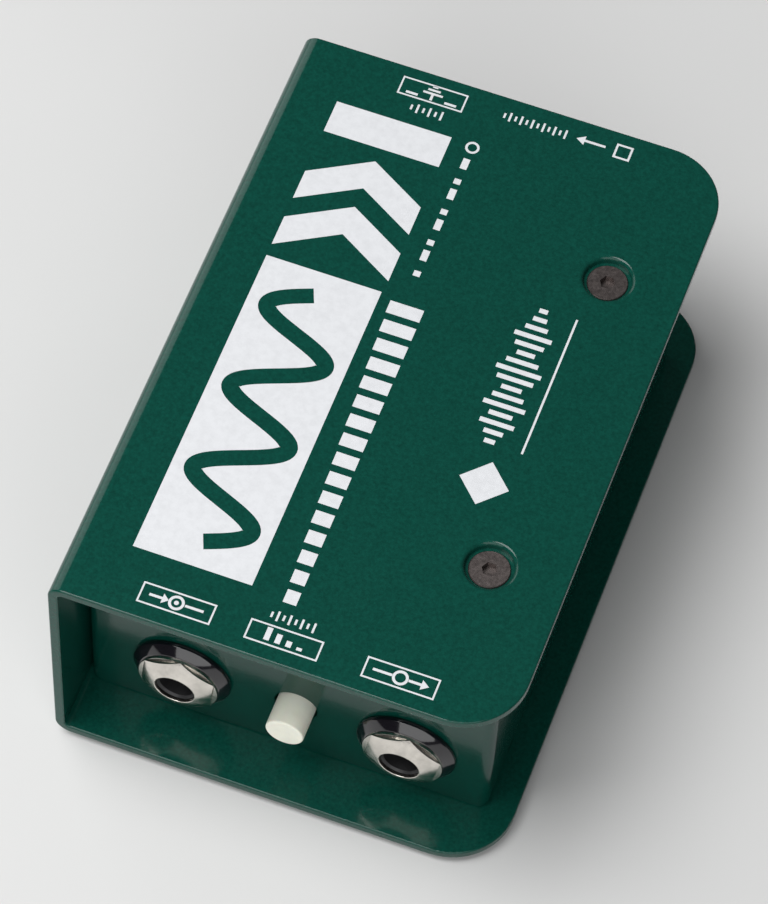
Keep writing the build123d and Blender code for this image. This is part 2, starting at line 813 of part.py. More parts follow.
with BuildPart() as xlr_housing:
    with BuildSketch(xlr_inner):
        RectangleRounded(xlr_flange_width, xlr_flange_height, xlr_flange_corner)
        with Locations(*xlr_screws_local):
            Circle(xlr_screw_radius + panel_hole_clearance, mode=Mode.SUBTRACT)
    extrude(amount=-xlr_flange_thickness)
    with BuildSketch(xlr_section):
        with BuildLine():
            Polyline((0, 0), (0, xlr_barrel), (xlr_depth, xlr_barrel), (xlr_depth, 0), close=True)
        make_face()
    revolve(axis=xlr_line)
    with BuildSketch(xlr_section):
        with BuildLine():
            Polyline(
                (0, 0),
                (0, xlr_well + xlr_mouth),
                (xlr_mouth, xlr_well),
                (xlr_depth, xlr_well),
                (xlr_depth, 0),
                close=True,
            )
        make_face()
    revolve(axis=xlr_line, mode=Mode.SUBTRACT)
    with BuildSketch(xlr_face):
        with Locations((0, xlr_well)):
            Rectangle(2 * xlr_latch_half, 2 * xlr_latch_depth)
    extrude(amount=-xlr_latch_length, mode=Mode.SUBTRACT)
write(xlr_housing.part, "xlr_housing")

with BuildPart() as xlr_insert:
    with BuildSketch(xlr_face.offset(-xlr_well_depth)):
        Circle(xlr_well - xlr_insert_fit)
        for angle in xlr_pin_angles:
            with PolarLocations(xlr_pin_circle, 1, angle):
                Circle(xlr_pin_root, mode=Mode.SUBTRACT)
    extrude(amount=-xlr_insert_length)
write(xlr_insert.part, "xlr_insert")

with BuildPart() as xlr_pins:
    for angle in xlr_pin_angles:
        across = xlr_pin_circle * math.cos(math.radians(angle))
        up = xlr_pin_circle * math.sin(math.radians(angle))
        start = xlr_face.from_local_coords((across, up, -insert_rear))
        board_x = start.X
        board_y = start.Y - xlr_tail_reach
        drill_for([(board_x, board_y)], xlr_tail_radius)
        with BuildSketch(xlr_face.offset(-insert_rear)):
            with Locations((across, up)):
                Circle(xlr_pin_radius)
        pin = extrude(amount=insert_rear - xlr_pin_recess)
        fillet(pin.edges().filter_by(GeomType.CIRCLE).sort_by(Axis.Y)[-1], xlr_pin_round)
        with BuildSketch(xlr_face.offset(-insert_rear)):
            with Locations((across, up)):
                Circle(xlr_pin_root)
        extrude(amount=xlr_insert_length + xlr_pin_root_proud)
        with BuildLine():
            tail = FilletPolyline(
                start,
                (board_x, board_y, start.Z),
                (board_x, board_y, board_bottom - pin_below_board),
                radius=xlr_tail_bend,
            )
        with BuildSketch(Plane(origin=start, z_dir=tail % 0)):
            Circle(xlr_tail_radius)
        sweep(path=tail)
write(xlr_pins.part, "xlr_pins")

with BuildPart() as xlr_screws:
    with BuildSketch(xlr_face.offset(-xlr_screw_length)):
        with Locations(*xlr_screws_local):
            Circle(xlr_screw_radius)
    extrude(amount=xlr_screw_length)
    with BuildSketch(xlr_face):
        with Locations(*xlr_screws_local):
            Circle(xlr_screw_head)
    heads = extrude(amount=xlr_screw_head_height)
    fillet(heads.edges().filter_by(GeomType.CIRCLE).group_by(Axis.Y)[-1], xlr_screw_head_round)
    with BuildSketch(xlr_face.offset(xlr_screw_head_height)):
        with Locations(*xlr_screws_local):
            Rectangle(2 * xlr_screw_drive, xlr_screw_slot)
            Rectangle(xlr_screw_slot, 2 * xlr_screw_drive)
    extrude(amount=-xlr_screw_drive_depth, mode=Mode.SUBTRACT)
write(xlr_screws.part, "xlr_screws")

with BuildPart() as xlr_nuts:
    with BuildSketch(xlr_inner.offset(-xlr_flange_thickness)):
        with Locations(*xlr_screws_local):
            RegularPolygon(xlr_nut_flats / 2, 6, major_radius=False)
            Circle(xlr_screw_radius, mode=Mode.SUBTRACT)
    extrude(amount=-xlr_nut_height)
write(xlr_nuts.part, "xlr_nuts")

# ---------------------------------------------------------------------------------------------------------
# Transformer
# ---------------------------------------------------------------------------------------------------------

core_bottom = board_top + core_lift
window_width = core_width / 2 - 2 * core_leg
window_height = core_height - 2 * core_leg
window_bottom = core_bottom + core_leg
transformer_middle = Plane(origin=(transformer_x, transformer_y, 0))

can_tabs_at = [
    (transformer_x + side * (can_width - can_wall) / 2, transformer_y + row * can_tab_row)
    for side in (-1, 1)
    for row in (-1, 1)
]
can_tabs = board_pins(can_tabs_at, board_top)
with BuildPart() as transformer_can:
    with BuildSketch(transformer_middle.offset(board_top)):
        RectangleRounded(can_width, can_depth, can_corner)
    extrude(amount=can_height)
    fillet(faces().sort_by(Axis.Z)[-1].edges(), can_round)
    with BuildSketch(transformer_middle.offset(board_top)):
        RectangleRounded(can_width - 2 * can_wall, can_depth - 2 * can_wall, can_corner - can_wall)
    extrude(amount=can_height - can_wall, mode=Mode.SUBTRACT)
    add(can_tabs)
write(transformer_can.part, "transformer_can")

with BuildPart() as core_e_stack:
    with BuildSketch(Plane.XZ.offset(-transformer_y)):
        with Locations((transformer_x, core_bottom + (core_height - core_leg) / 2)):
            Rectangle(core_width, core_height - core_leg)
        with Locations((transformer_x, window_bottom + window_height / 2)):
            with GridLocations(2 * core_leg + window_width, 0, 2, 1):
                Rectangle(window_width, window_height, mode=Mode.SUBTRACT)
    extrude(amount=core_stack / 2, both=True)
write(core_e_stack.part, "core_e_stack")

with BuildPart() as core_i_stack:
    with BuildSketch(Plane.XZ.offset(-transformer_y)):
        with Locations((transformer_x, core_bottom + core_height - core_leg / 2)):
            Rectangle(core_width, core_leg)
    extrude(amount=core_stack / 2, both=True)
write(core_i_stack.part, "core_i_stack")

tube_inside = (2 * core_leg + 2 * bobbin_fit, core_stack + 2 * bobbin_fit)
tube_outside = (tube_inside[0] + 2 * bobbin_wall, tube_inside[1] + 2 * bobbin_wall)
bobbin_bottom = window_bottom + bobbin_fit
bobbin_height = window_height - 2 * bobbin_fit
flange_size = (2 * (core_leg + window_width - bobbin_fit), tube_outside[1] + 2 * winding_build + bobbin_wall)

with BuildPart() as bobbin:
    with BuildSketch(transformer_middle.offset(bobbin_bottom)):
        Rectangle(*tube_outside)
    extrude(amount=bobbin_height)
    for level in (bobbin_bottom, bobbin_bottom + bobbin_height - bobbin_wall):
        with BuildSketch(transformer_middle.offset(level)):
            RectangleRounded(*flange_size, winding_round)
        extrude(amount=bobbin_wall)
    with BuildSketch(transformer_middle.offset(bobbin_bottom)):
        Rectangle(*tube_inside)
    extrude(amount=bobbin_height, mode=Mode.SUBTRACT)
write(bobbin.part, "bobbin")

winding_height = bobbin_height - 2 * bobbin_wall
split = winding_build * winding_split
for name, build_start, build_end in (("primary", 0, split), ("secondary", split, winding_build)):
    with BuildPart() as winding:
        with BuildSketch(transformer_middle.offset(bobbin_bottom + bobbin_wall)):
            RectangleRounded(tube_outside[0] + 2 * build_end, tube_outside[1] + 2 * build_end, winding_round)
            if build_start:
                RectangleRounded(
                    tube_outside[0] + 2 * build_start,
                    tube_outside[1] + 2 * build_start,
                    winding_round,
                    mode=Mode.SUBTRACT,
                )
            else:
                Rectangle(*tube_outside, mode=Mode.SUBTRACT)
        extrude(amount=winding_height)
    write(winding.part, f"{name}_winding")

transformer_pins_at = [
    (transformer_x + column * transformer_pin_pitch, transformer_y + row * transformer_pin_row)
    for column in (-1.5, -0.5, 0.5, 1.5)
    for row in (-1, 1)
]
transformer_pins = board_pins(transformer_pins_at, bobbin_bottom)
write(transformer_pins, "transformer_pins")

# ---------------------------------------------------------------------------------------------------------
# Small board parts and the board
# ---------------------------------------------------------------------------------------------------------

resistor_axis = board_top + resistor_radius
with BuildPart() as resistor_bodies:
    with BuildSketch(Plane.YZ.offset(resistor_x - resistor_length / 2)):
        with Locations(*[(y, resistor_axis) for y in resistor_rows]):
            Circle(resistor_radius)
    extrude(amount=resistor_length)
    fillet(edges().filter_by(GeomType.CIRCLE), resistor_radius / 3)
write(resistor_bodies.part, "resistor_bodies")

with BuildPart() as resistor_leads:
    for y in resistor_rows:
        for side in (-1, 1):
            lead_x = resistor_x + side * lead_pitch / 2
            drill_for([(lead_x, y)], lead_radius)
            with BuildLine():
                lead = FilletPolyline(
                    (resistor_x + side * resistor_length / 2, y, resistor_axis),
                    (lead_x, y, resistor_axis),
                    (lead_x, y, board_bottom - pin_below_board),
                    radius=2 * lead_radius,
                )
            with BuildSketch(Plane(origin=lead @ 0, z_dir=lead % 0)):
                Circle(lead_radius)
            sweep(path=lead)
write(resistor_leads.part, "resistor_leads")

capacitor_pins_at = [(resistor_x + s * capacitor_pitch / 2, y) for y in capacitor_rows for s in (-1, 1)]
capacitor_pins = board_pins(capacitor_pins_at, board_top)
with BuildPart() as capacitors:
    with BuildSketch(Plane.XY.offset(board_top)):
        with Locations(*[(resistor_x, y) for y in capacitor_rows]):
            RectangleRounded(capacitor_length, capacitor_width, capacitor_round)
    extrude(amount=capacitor_height)
    add(capacitor_pins)
write(capacitors.part, "capacitors")

with BuildPart() as circuit_board:
    with BuildSketch(Plane.XY.offset(board_bottom)):
        with Locations(((board_left + board_right) / 2, (board_front + board_rear) / 2)):
            RectangleRounded(board_right - board_left, board_rear - board_front, board_corner)
        with Locations(*bottom_screws):
            Circle(board_notch, mode=Mode.SUBTRACT)
        for x, y, radius in board_holes:
            with Locations((x, y)):
                Circle(radius, mode=Mode.SUBTRACT)
    extrude(amount=board_thickness)
write(circuit_board.part, "circuit_board")
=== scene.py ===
"""Finishes, printing and stage for a passive direct injection box, laid out as a Blender add-on."""

import json
import math

import bmesh
import bpy
from bpy.props import FloatProperty, FloatVectorProperty, PointerProperty
from bpy.types import Operator, Panel, PropertyGroup
from mathutils import Matrix, Vector


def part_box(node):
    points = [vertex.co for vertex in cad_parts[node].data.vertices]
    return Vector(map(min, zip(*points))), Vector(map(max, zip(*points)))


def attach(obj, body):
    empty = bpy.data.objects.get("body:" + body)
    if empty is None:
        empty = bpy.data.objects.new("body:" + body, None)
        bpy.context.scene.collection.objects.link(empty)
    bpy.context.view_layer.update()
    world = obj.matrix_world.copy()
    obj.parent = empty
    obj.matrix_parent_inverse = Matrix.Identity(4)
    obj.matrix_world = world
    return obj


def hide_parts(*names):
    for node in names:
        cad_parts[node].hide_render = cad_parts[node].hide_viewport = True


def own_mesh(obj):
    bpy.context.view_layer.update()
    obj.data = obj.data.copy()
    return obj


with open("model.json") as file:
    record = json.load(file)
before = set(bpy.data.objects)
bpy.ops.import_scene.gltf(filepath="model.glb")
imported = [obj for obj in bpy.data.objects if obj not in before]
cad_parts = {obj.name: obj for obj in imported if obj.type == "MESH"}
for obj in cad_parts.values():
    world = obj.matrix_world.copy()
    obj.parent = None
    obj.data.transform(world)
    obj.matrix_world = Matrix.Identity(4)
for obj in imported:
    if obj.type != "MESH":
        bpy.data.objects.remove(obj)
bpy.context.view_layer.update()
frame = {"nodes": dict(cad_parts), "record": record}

bl_info = {
    "name": "Direct Injection Box",
    "version": (1, 0, 0),
    "blender": (4, 5, 0),
    "location": "3D View > Sidebar > DI Box",
    "description": "Finishes, printed marks and a studio stage for a passive direct injection box",
    "category": "Object",
}

MM = 0.001
CASE = "box"  # the body that the cover, chassis and fixed parts belong to
SIDEBAR_TAB = "DI Box"

COVER_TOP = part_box("outer_cover")[1].z
WELD = 1e-7  # vertices closer than this are one, on pieces made here
CAD_WELD = 1e-6  # the same, on copies of CAD meshes
CAD_SHARP = math.radians(24.0)  # folds sharper than this stay crisp on copies of CAD meshes
FORWARD = (0.0, -1.0, 0.0)  # out of the input panel


# ---------------------------------------------------------------------------------------------------------
# Sizes and colours a user would change
# ---------------------------------------------------------------------------------------------------------


def colour(name, description, default):
    """A colour setting."""
    return FloatVectorProperty(
        name=name, description=description, default=default, subtype="COLOR", size=3, min=0.0, max=1.0
    )


def length(name, description, default):
    """A length setting in metres."""
    return FloatProperty(name=name, description=description, default=default, unit="LENGTH", min=0.0)


def angle(name, description, degrees):
    """An angle setting."""
    return FloatProperty(name=name, description=description, default=math.radians(degrees), unit="ROTATION")


def power(name, description, watts):
    """A light's power setting."""
    return FloatProperty(name=name, description=description, default=watts, unit="POWER", min=0.0)


class DIBOX_PG_finish(PropertyGroup):
    """Colours of the painted and moulded parts."""

    cover_green: colour("Cover", "Powder coat on the cover", (0.003, 0.05, 0.036))
    chassis_green: colour("Chassis", "Powder coat on the chassis", (0.0012, 0.038, 0.027))
    button_ivory: colour("Buttons", "Push-button caps", (0.91, 0.87, 0.74))
    ink_white: colour("Ink", "Screen-printed marks", (0.66, 0.67, 0.69))
    nickel_tone: colour("Nickel", "Plated nuts, washers and pins", (0.78, 0.74, 0.68))


class DIBOX_PG_jacks(PropertyGroup):
    """Sizes of the jacks' visible rings and nuts."""

    bezel_bore: length("Bezel bore", "Radius of the hole in the bezel", 4.95 * MM)
    bezel_front: length("Bezel front", "Radius of the bezel's front edge", 7.7 * MM)
    bezel_edge: length("Bezel edge", "Height of the bezel's straight side", 0.9 * MM)
    bezel_roll: length("Bezel roll", "Radius that rounds the bezel's edges", 0.22 * MM)
    nut_flats: length("Nut flats", "Nut size across its flats", 13.2 * MM)
    nut_rim: length("Nut rim", "Radius of the nut's front rim", 3.95 * MM)
    nut_mouth: length("Nut mouth", "Radius of the nut's opening", 3.75 * MM)
    nut_bore: length("Nut bore", "Radius of the nut's hole", 4.8 * MM)
    nut_lip: length("Nut lip", "Depth of the nut's front lip", 0.6 * MM)
    nut_slope: FloatProperty(name="Nut slope", description="Fall of the nut's cone for its run", default=0.43)
    input_turn: angle("Input nut", "Where the input nut's first corner stopped", 25.5)
    thru_turn: angle("Thru nut", "Where the thru nut's first corner stopped", 20.0)


class DIBOX_PG_printing(PropertyGroup):
    """Sizes of the screen-printed marks."""

    ink_thickness: length("Ink thickness", "How far the ink stands above the paint", 0.025 * MM)
    frame_line: length("Frame line", "Line width of the small label frames", 0.32 * MM)
    symbol_line: length("Symbol line", "Line width of the small symbols", 0.5 * MM)


class DIBOX_PG_stage(PropertyGroup):
    """Camera, floor and lights."""

    azimuth: angle("Azimuth", "Camera's turn round the box", 17.358)
    elevation: angle("Elevation", "Camera's height above the horizon", 58.353)
    roll: angle("Roll", "Camera's turn about its own line of sight", 3.204)
    camera_x: length("Camera X", "Camera position", 0.13259)
    camera_y: FloatProperty(name="Camera Y", description="Camera position", default=-0.43197, unit="LENGTH")
    camera_z: length("Camera Z", "Camera position", 0.75798)
    lens: FloatProperty(name="Lens", description="Focal length in millimetres", default=187.97)
    floor_size: length("Floor", "Width of the floor", 6.0)
    key_power: power("Key light", "Power of the softbox overhead", 16.5)
    side_power: power("Side light", "Power of the softbox beside the closed side", 6.5)
    front_power: power("Front light", "Power of the softbox before the input end", 10.5)
    air_light: FloatProperty(name="Air", description="Light from all round", default=0.06, min=0.0)


# ---------------------------------------------------------------------------------------------------------
# Material building
# ---------------------------------------------------------------------------------------------------------


class Finish:
    """A principled material that reads object coordinates, with helpers that add its detail."""

    def __init__(self, name, base, roughness, metallic=0.0, scale=(1.0, 1.0, 1.0), **sockets):
        self.material = bpy.data.materials.new(name)
        self.material.use_nodes = True
        self.tree = self.material.node_tree
        self.shader = self.tree.nodes["Principled BSDF"]
        self.shader.inputs["Base Color"].default_value = (*base, 1.0)
        self.shader.inputs["Roughness"].default_value = roughness
        self.shader.inputs["Metallic"].default_value = metallic
        for socket, value in sockets.items():
            self.shader.inputs[socket.replace("_", " ")].default_value = value
        self.material.diffuse_color = (*base, 1.0)
        coordinates = self.node("ShaderNodeTexCoord")
        self.mapping = self.node("ShaderNodeMapping")
        self.mapping.inputs["Scale"].default_value = scale
        self.link(coordinates, "Object", self.mapping, "Vector")
        self.height = None

    def node(self, kind, **settings):
        """A new node with its settings applied."""
        node = self.tree.nodes.new(kind)
        for name, value in settings.items():
            setattr(node, name, value)
        return node

    def link(self, source, output, target, socket):
        """Join two nodes."""
        self.tree.links.new(source.outputs[output], target.inputs[socket])

    def noise(self, scale, detail=3.0, roughness=0.5):
        """A noise texture on the object's coordinates, with its scale in features per metre."""
        noise = self.node("ShaderNodeTexNoise")
        noise.inputs["Scale"].default_value = scale
        noise.inputs["Detail"].default_value = detail
        noise.inputs["Roughness"].default_value = roughness
        self.link(self.mapping, "Vector", noise, "Vector")
        return noise

    def wave(self, pitch, axis):
        """Straight parallel bands of the given pitch in metres."""
        wave = self.node("ShaderNodeTexWave", wave_type="BANDS", bands_direction=axis, wave_profile="SIN")
        wave.inputs["Scale"].default_value = math.pi / (10.0 * pitch)
        self.link(self.mapping, "Vector", wave, "Vector")
        return wave

    def mottle(self, source, output, low, high, dark, light):
        """Colour between dark and light as the source goes from low to high."""
        ramp = self.node("ShaderNodeValToRGB")
        ramp.color_ramp.elements[0].position = low
        ramp.color_ramp.elements[0].color = (*dark, 1.0)
        ramp.color_ramp.elements[1].position = high
        ramp.color_ramp.elements[1].color = (*light, 1.0)
        self.link(source, output, ramp, "Fac")
        self.link(ramp, "Color", self.shader, "Base Color")
        return self

    def spread(self, source, output, low, high):
        """Roughness between low and high with the source."""
        spread = self.node("ShaderNodeMapRange")
        spread.inputs["To Min"].default_value = low
        spread.inputs["To Max"].default_value = high
        self.link(source, output, spread, "Value")
        self.link(spread, "Result", self.shader, "Roughness")
        return self

    def bump(self, source, output, depth, strength=1.0):
        """Relief of the given depth in metres, on top of any relief already there."""
        bump = self.node("ShaderNodeBump")
        bump.inputs["Strength"].default_value = strength
        bump.inputs["Distance"].default_value = depth
        self.link(source, output, bump, "Height")
        if self.height:
            self.link(self.height, "Normal", bump, "Normal")
        self.link(bump, "Normal", self.shader, "Normal")
        self.height = bump
        return self


def tint(shade, factor):
    """A lighter or darker version of a colour."""
    return tuple(min(1.0, channel * factor) for channel in shade)


def powder_coat(name, shade):
    """Glossy powder coat: a fine orange peel, specks in the pigment and very slight cloudiness."""
    coat = Finish(name, shade, 0.15, Specular_IOR_Level=0.22, Coat_Weight=0.15, Coat_Roughness=0.05)
    grain = coat.noise(1500.0, detail=5.0, roughness=0.7)
    coat.mottle(grain, "Fac", 0.28, 0.72, tint(shade, 0.72), tint(shade, 1.32))
    coat.spread(coat.noise(90.0, detail=4.0), "Fac", 0.13, 0.21)
    coat.bump(coat.noise(900.0, detail=1.0), "Fac", 0.012 * MM)
    coat.bump(coat.noise(3800.0, detail=2.0), "Fac", 0.003 * MM)
    return coat.material


def plated(name, shade, roughness=0.16):
    """Bright plating over machined brass: fine turning marks and soft stains."""
    metal = Finish(name, shade, roughness, metallic=1.0)
    stain = metal.noise(380.0, detail=5.0, roughness=0.6)
    metal.mottle(stain, "Fac", 0.3, 0.75, tint(shade, 0.78), tint(shade, 1.12))
    metal.spread(metal.noise(900.0, detail=4.0), "Fac", roughness * 0.6, roughness * 1.9)
    metal.bump(metal.noise(2600.0, detail=3.0), "Fac", 0.006 * MM)
    return metal.material


def black_oxide(name):
    """Blackened steel with a smooth brownish tone and small bright handling marks."""
    steel = Finish(name, (0.15, 0.128, 0.122), 0.36, metallic=0.9)
    marks = steel.noise(1900.0, detail=6.0, roughness=0.7)
    steel.mottle(marks, "Fac", 0.34, 0.72, (0.105, 0.09, 0.086), (0.21, 0.18, 0.172))
    steel.spread(steel.noise(900.0, detail=5.0), "Fac", 0.26, 0.5)
    steel.bump(marks, "Fac", 0.012 * MM)
    return steel.material


def moulded(name, shade, roughness, grain, depth, **sockets):
    """Moulded plastic with a fine texture."""
    plastic = Finish(name, shade, roughness, **sockets)
    cloud = plastic.noise(240.0, detail=4.0)
    plastic.mottle(cloud, "Fac", 0.3, 0.7, tint(shade, 0.93), tint(shade, 1.06))
    plastic.spread(plastic.noise(grain * 0.5), "Fac", roughness * 0.75, roughness * 1.3)
    plastic.bump(plastic.noise(grain, detail=2.0), "Fac", depth)
    return plastic.material


def rubber(name):
    """Matte black neoprene with a fine pebble grain."""
    sheet = Finish(name, (0.018, 0.018, 0.018), 0.85)
    grain = sheet.noise(2200.0, detail=3.0, roughness=0.6)
    sheet.mottle(grain, "Fac", 0.35, 0.7, (0.011, 0.011, 0.011), (0.034, 0.034, 0.033))
    sheet.spread(sheet.noise(160.0), "Fac", 0.72, 0.95)
    sheet.bump(grain, "Fac", 0.12 * MM)
    return sheet.material


def screen_ink(name, shade):
    """Screen-printed ink: slightly uneven, with the paint's texture under it."""
    ink = Finish(name, shade, 0.42, Specular_IOR_Level=0.4)
    ink.mottle(ink.noise(700.0, detail=5.0, roughness=0.65), "Fac", 0.25, 0.6, tint(shade, 0.9), shade)
    ink.spread(ink.noise(300.0), "Fac", 0.36, 0.55)
    ink.bump(ink.noise(1300.0, detail=2.0), "Fac", 0.008 * MM)
    return ink.material


def sheet_metal(name, shade, roughness, streak=(1.0, 1.0, 12.0)):
    """Bare or annealed sheet and wire with drawn streaks."""
    metal = Finish(name, shade, roughness, metallic=1.0, scale=streak)
    grain = metal.noise(260.0, detail=6.0, roughness=0.7)
    metal.mottle(grain, "Fac", 0.3, 0.72, tint(shade, 0.75), tint(shade, 1.15))
    metal.spread(grain, "Fac", roughness * 0.7, roughness * 1.3)
    metal.bump(grain, "Fac", 0.01 * MM)
    return metal.material


def layered(name, dark, light, pitch, axis, roughness, metallic, depth):
    """Stacked laminations or a wound layer: bands of the given pitch along one axis. On a wound layer the
    dark bands are painted shade in the grooves between the turns.
    """
    stack = Finish(name, light, roughness, metallic=metallic)
    bands = stack.wave(pitch, axis)
    stack.mottle(bands, "Fac", 0.15, 0.75, dark, light)
    stack.spread(stack.noise(500.0), "Fac", roughness * 0.8, roughness * 1.25)
    stack.bump(bands, "Fac", depth)
    return stack.material


def solder_mask(name):
    """Green solder mask over copper tracks."""
    board = Finish(name, (0.01, 0.16, 0.05), 0.3, Specular_IOR_Level=0.5)
    cells = board.node("ShaderNodeTexVoronoi", feature="DISTANCE_TO_EDGE", distance="MANHATTAN")
    cells_per_metre = 170.0
    cells.inputs["Scale"].default_value = cells_per_metre
    board.link(board.mapping, "Vector", cells, "Vector")
    board.mottle(cells, "Distance", 0.06, 0.1, (0.03, 0.27, 0.1), (0.008, 0.14, 0.045))
    board.spread(board.noise(600.0), "Fac", 0.24, 0.4)
    board.bump(cells, "Distance", 0.03 * MM)
    return board.material


def banded_resistor(name, centre_x):
    """Pale blue lacquer with the five rings of a precision resistor."""
    blue, brown, black, red = (0.2, 0.36, 0.5), (0.12, 0.03, 0.01), (0.01, 0.01, 0.01), (0.5, 0.02, 0.01)
    half_length, ring_width, body_end = 3.2 * MM, 0.07, 0.99
    lacquer = Finish(name, blue, 0.35)
    split = lacquer.node("ShaderNodeSeparateXYZ")
    lacquer.mapping.inputs["Location"].default_value = (-centre_x, 0.0, 0.0)
    lacquer.link(lacquer.mapping, "Vector", split, "Vector")
    spread = lacquer.node("ShaderNodeMapRange")
    spread.inputs["From Min"].default_value = -half_length
    spread.inputs["From Max"].default_value = half_length
    lacquer.link(split, "X", spread, "Value")
    ramp = lacquer.node("ShaderNodeValToRGB")
    ramp.color_ramp.interpolation = "CONSTANT"
    ramp.color_ramp.elements[0].color = (*blue, 1.0)
    ramp.color_ramp.elements[1].position = body_end
    ramp.color_ramp.elements[1].color = (*blue, 1.0)
    for start, ring in ((0.12, brown), (0.29, black), (0.45, black), (0.61, red), (0.82, brown)):
        ramp.color_ramp.elements.new(start).color = (*ring, 1.0)
        ramp.color_ramp.elements.new(start + ring_width).color = (*blue, 1.0)
    lacquer.link(spread, "Result", ramp, "Fac")
    lacquer.link(ramp, "Color", lacquer.shader, "Base Color")
    lacquer.spread(lacquer.noise(900.0), "Fac", 0.28, 0.42)
    lacquer.bump(lacquer.noise(1500.0), "Fac", 0.02 * MM)
    return lacquer.material


# ---------------------------------------------------------------------------------------------------------
# Mesh building
# ---------------------------------------------------------------------------------------------------------


def dress(nodes, material):
    """Give CAD nodes a finish."""
    for name in nodes:
        node = frame["nodes"][name]
        for slot in node.material_slots:
            slot.material = material


def body_with(node):
    """The moving body that a CAD node belongs to."""
    return next(body for body, members in frame["record"]["behaviour"]["bodies"].items() if node in members)


def shade_smooth(builder, sharp):
    """Shade smoothly, except where two faces meet at more than the sharp angle."""
    for face in builder.faces:
        face.smooth = True
    for edge in builder.edges:
        edge.smooth = len(edge.link_faces) == 2 and edge.calc_face_angle(0.0) < sharp


def stand(name, builder, material):
    """Put a bmesh into the scene as an object with its finish."""
    mesh = bpy.data.meshes.new(name)
    builder.to_mesh(mesh)
    builder.free()
    mesh.materials.append(material)
    piece = bpy.data.objects.new(name, mesh)
    bpy.context.scene.collection.objects.link(piece)
    return piece


def polished(node):
    """A merged, smooth-shaded copy of a CAD node that stands for it, with its finish."""
    source = frame["nodes"][node]
    builder = bmesh.new()
    builder.from_mesh(source.data)
    bmesh.ops.remove_doubles(builder, verts=builder.verts, dist=CAD_WELD)
    shade_smooth(builder, CAD_SHARP)
    piece = stand(node + "_finish", builder, source.material_slots[0].material)
    weighted = piece.modifiers.new("even_shading", "WEIGHTED_NORMAL")
    weighted.weight = 100
    weighted.keep_sharp = True
    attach(piece, body_with(node))
    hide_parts(node)
    return piece


def finish_piece(name, builder, material, sharp):
    """Turn a bmesh into a smooth-shaded object that rides on the case."""
    bmesh.ops.remove_doubles(builder, verts=builder.verts, dist=WELD)
    bmesh.ops.recalc_face_normals(builder, faces=builder.faces)
    shade_smooth(builder, sharp)
    piece = stand(name, builder, material)
    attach(piece, CASE)
    return piece


class Stencil:
    """Flat ink shapes on the cover's top, drawn in millimetres and lifted to the ink's thickness."""

    def __init__(self, turn=0.0, at=(0.0, 0.0)):
        self.mesh = bmesh.new()
        self.place = Matrix.Translation((at[0] * MM, at[1] * MM, COVER_TOP)) @ Matrix.Rotation(turn, 4, "Z")

    def bar(self, x0, y0, x1, y1):
        """A filled rectangle."""
        size = Matrix.Diagonal(((x1 - x0) * MM, (y1 - y0) * MM, 1.0, 1.0))
        centre = Matrix.Translation(((x0 + x1) * MM / 2, (y0 + y1) * MM / 2, 0.0))
        place = self.place @ centre @ size
        bmesh.ops.create_grid(self.mesh, x_segments=1, y_segments=1, size=0.5, matrix=place)

    def stroke(self, x0, x1, y, line):
        """A straight line along X."""
        self.bar(x0, y - line / 2, x1, y + line / 2)

    def frame(self, x0, y0, x1, y1, line):
        """A rectangular outline."""
        self.bar(x0, y0, x1, y0 + line)
        self.bar(x0, y1 - line, x1, y1)
        self.bar(x0, y0 + line, x0 + line, y1 - line)
        self.bar(x1 - line, y0 + line, x1, y1 - line)

    def disc(self, x, y, radius):
        """A filled circle."""
        centre = Matrix.Translation((x * MM, y * MM, 0.0))
        bmesh.ops.create_circle(
            self.mesh, cap_ends=True, segments=48, radius=radius * MM, matrix=self.place @ centre
        )

    def ring(self, x, y, radius, line):
        """A circle drawn with a line."""
        ends = [self.corner(x + reach, y) for reach in (radius - line / 2, radius + line / 2)]
        bmesh.ops.spin(
            self.mesh,
            geom=[*ends, self.mesh.edges.new(ends)],
            cent=self.place @ (Vector((x, y, 0.0)) * MM),
            axis=(0.0, 0.0, 1.0),
            angle=math.tau,
            steps=64,
            use_merge=True,
        )

    def corner(self, x, y):
        """A new vertex at a point."""
        return self.mesh.verts.new(self.place @ (Vector((x, y, 0.0)) * MM))

    def wedge(self, points):
        """A filled polygon with straight sides."""
        self.mesh.faces.new([self.corner(x, y) for x, y in points])

    def head(self, x, y, reach, half=1.0):
        """An arrow's head that points along +X."""
        self.wedge([(x, y - half), (x + reach, y), (x, y + half)])

    def print(self, name, material, thickness):
        """Lift the shapes off the paint and make the piece."""
        bmesh.ops.recalc_face_normals(self.mesh, faces=self.mesh.faces)
        flat = list(self.mesh.faces)
        for face in flat:
            if face.normal.z < 0:
                face.normal_flip()
        raised = bmesh.ops.extrude_face_region(self.mesh, geom=flat, use_keep_orig=True)
        tops = [item for item in raised["geom"] if isinstance(item, bmesh.types.BMVert)]
        bmesh.ops.translate(self.mesh, verts=tops, vec=(0.0, 0.0, thickness))
        finish_piece(name, self.mesh, material, sharp=math.radians(32.0))


def turned(profile, centre, steps=128):
    """A closed ring turned from (radius, height) points in millimetres, its height running forward."""
    builder = bmesh.new()
    forward, up = Vector(FORWARD), Vector((0.0, 0.0, 1.0))
    points = [builder.verts.new(centre + (up * radius + forward * height) * MM) for radius, height in profile]
    edges = [builder.edges.new((points[index - 1], points[index])) for index in range(len(points))]
    bmesh.ops.spin(
        builder,
        geom=[*points, *edges],
        cent=centre,
        axis=forward,
        angle=math.tau,
        steps=steps,
        use_merge=True,
    )
    bmesh.ops.remove_doubles(builder, verts=builder.verts, dist=WELD)
    bmesh.ops.recalc_face_normals(builder, faces=builder.faces)
    return builder


